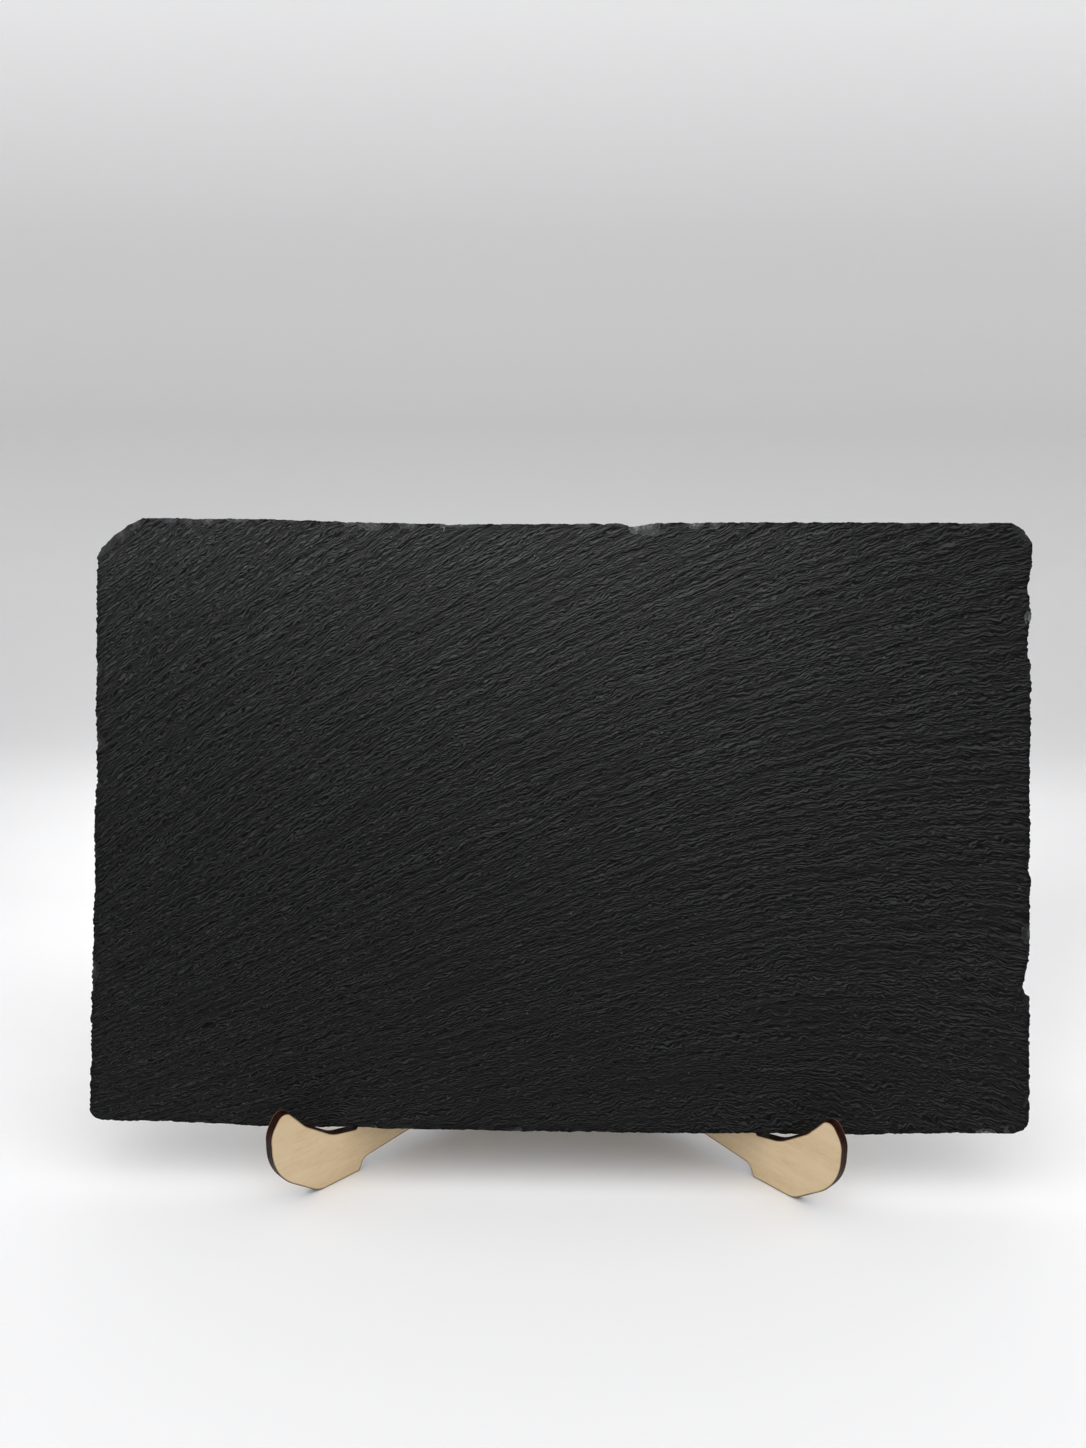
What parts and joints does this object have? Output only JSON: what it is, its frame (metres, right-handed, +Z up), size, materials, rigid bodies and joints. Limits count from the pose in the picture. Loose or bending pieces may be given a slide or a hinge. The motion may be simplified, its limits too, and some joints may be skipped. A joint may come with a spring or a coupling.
{
  "type": "slate serving board",
  "caption": "Riven slate serving board with hand-broken edges, leaning in a slot-together plywood easel and backed with stick-on foot pads.",
  "frame": {"origin": "On the table, in the middle of the object's box: half way along the slate and half way from the hooks to the tails of the legs.", "axes": "+X runs along the slate's bottom edge to the right as seen from the front, +Y from the front to the back, and +Z up."},
  "size_m": [0.3016, 0.1238, 0.2065],
  "materials": {
    "slate": "riven, matt with a slight sheen",
    "plywood": "bare sanded veneer with burnt cut edges",
    "pad": "matt foam rubber"
  },
  "bodies": {
    "left_leg": {"left_leg": "plywood"},
    "right_leg": {"right_leg": "plywood"},
    "slate": {"slate": "slate", "pad_top_left": "pad", "pad_top_right": "pad", "pad_bottom_left": "pad", "pad_bottom_right": "pad"}
  },
  "joints": [
    {"name": "right_leg_lift", "type": "slide", "parent": "left_leg", "child": "right_leg", "axis": [0, 0, 1], "range_m": [0, 0.05]},
    {"name": "slate_lift", "type": "slide", "parent": "right_leg", "child": "slate", "axis": [0, 0.2924, 0.9563], "range_m": [0, 0.12]}
  ]
}
